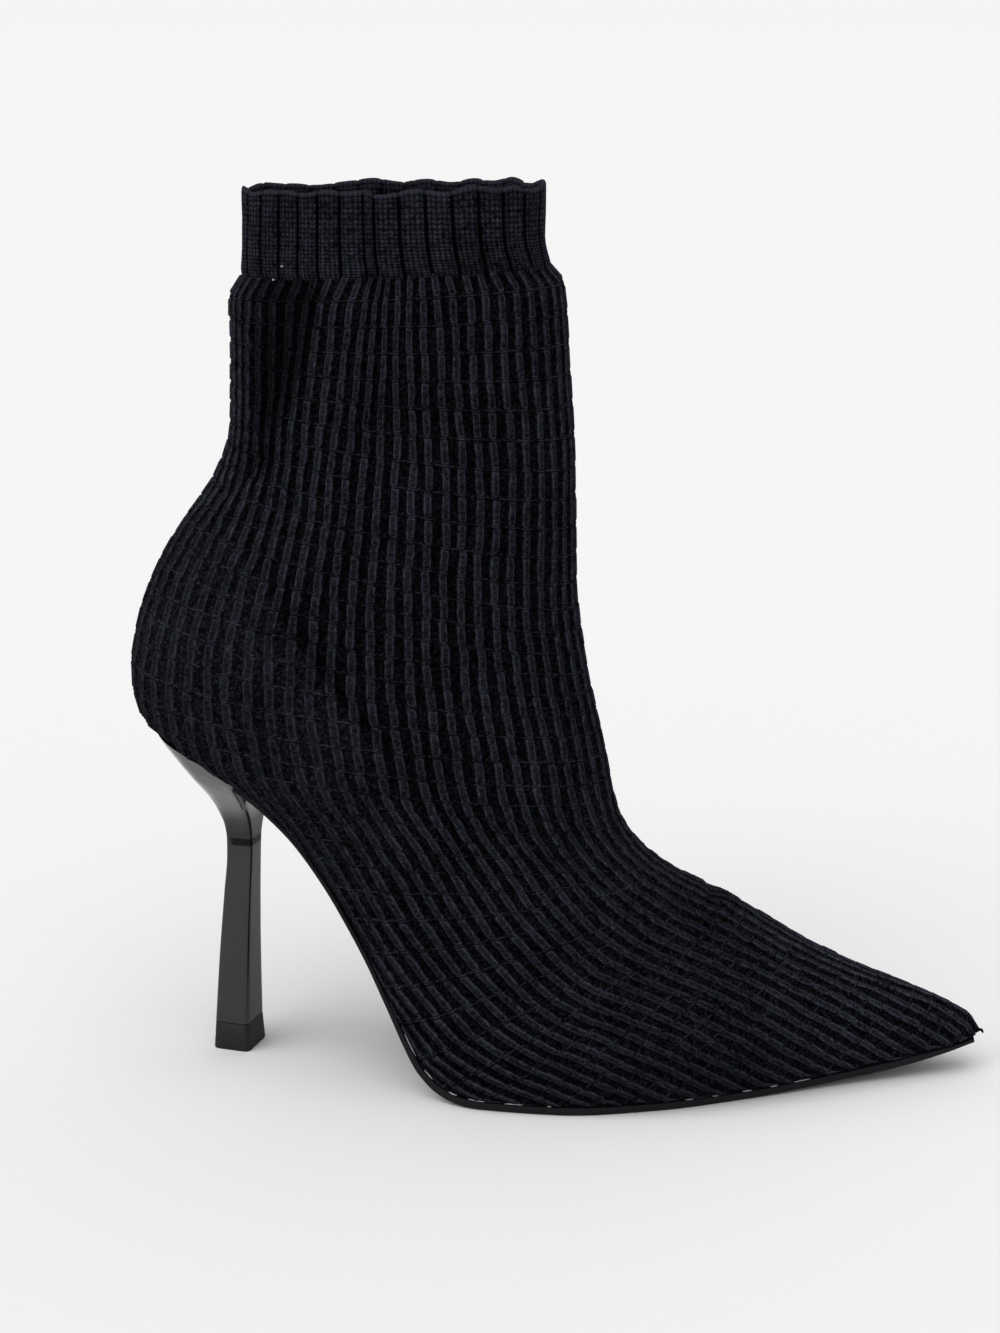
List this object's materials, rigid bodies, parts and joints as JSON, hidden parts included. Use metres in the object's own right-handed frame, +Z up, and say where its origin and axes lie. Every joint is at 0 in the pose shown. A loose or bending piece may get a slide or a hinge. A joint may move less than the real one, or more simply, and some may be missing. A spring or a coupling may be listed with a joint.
{
  "type": "heeled ankle boot",
  "caption": "Pointed sock ankle boot for the right foot: hollow ribbed-knit upper with a knitted cuff on a thin sole and a slim high heel.",
  "frame": {"origin": "middle of the heel's wearing face, on the floor", "axes": "+X towards the toe, +Y to the inner side of the foot, +Z up"},
  "size_m": [0.2561, 0.0771, 0.2625],
  "materials": {
    "knit": "ribbed knit, black",
    "insole": "black sock lining",
    "sole": "satin black, smooth",
    "heel_lacquer": "glossy black lacquer",
    "tip": "matte black"
  },
  "bodies": {
    "root": {"upper": "knit", "insole": "insole", "outsole": "sole", "heel": "heel_lacquer", "heel_tip": "tip"}
  },
  "joints": []
}
